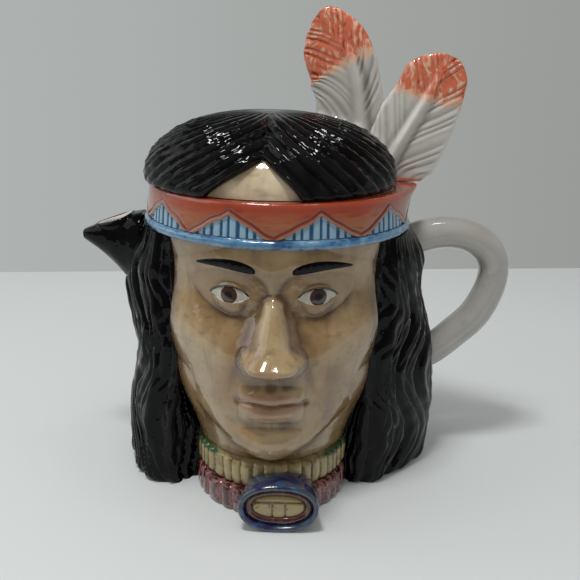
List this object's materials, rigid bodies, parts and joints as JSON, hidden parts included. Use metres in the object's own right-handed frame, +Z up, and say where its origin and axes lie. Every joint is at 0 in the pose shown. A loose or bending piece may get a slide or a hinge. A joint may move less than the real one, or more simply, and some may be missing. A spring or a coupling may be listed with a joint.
{
  "type": "face jug",
  "caption": "Lidded ceramic face jug: a head with long hair, a beak spout and a loop handle, and a loose domed lid with feathers",
  "frame": {"origin": "centre of the round pot on the table, under its foot", "axes": "+Z up, the face looks along -Y, the handle is at +X and the spout at -X"},
  "size_m": [0.2095, 0.1535, 0.2203],
  "materials": {
    "black_glaze": "gloss",
    "skin_glaze": "gloss",
    "white_glaze": "gloss",
    "orange_glaze": "gloss",
    "blue_glaze": "gloss",
    "cobalt_glaze": "gloss",
    "maroon_glaze": "gloss",
    "cream_glaze": "gloss"
  },
  "bodies": {
    "jug": {"body_wall": "white_glaze", "face": "skin_glaze", "hair_left": "black_glaze", "hair_right": "black_glaze", "hair_back": "black_glaze", "headband": "orange_glaze", "headband_cord": "blue_glaze", "collar_lower": "maroon_glaze", "collar_upper": "cream_glaze", "medallion_rim": "cobalt_glaze", "medallion_band": "maroon_glaze", "medallion_centre": "cream_glaze", "spout": "black_glaze", "handle": "white_glaze"},
    "lid": {"lid_shell": "skin_glaze", "lid_hair": "black_glaze", "feather_tall": "white_glaze", "feather_short": "white_glaze"}
  },
  "joints": [
    {"name": "lid_lift", "type": "slide", "parent": "jug", "child": "lid", "axis": [0, 0, 1], "range_m": [0, 0.06]}
  ]
}
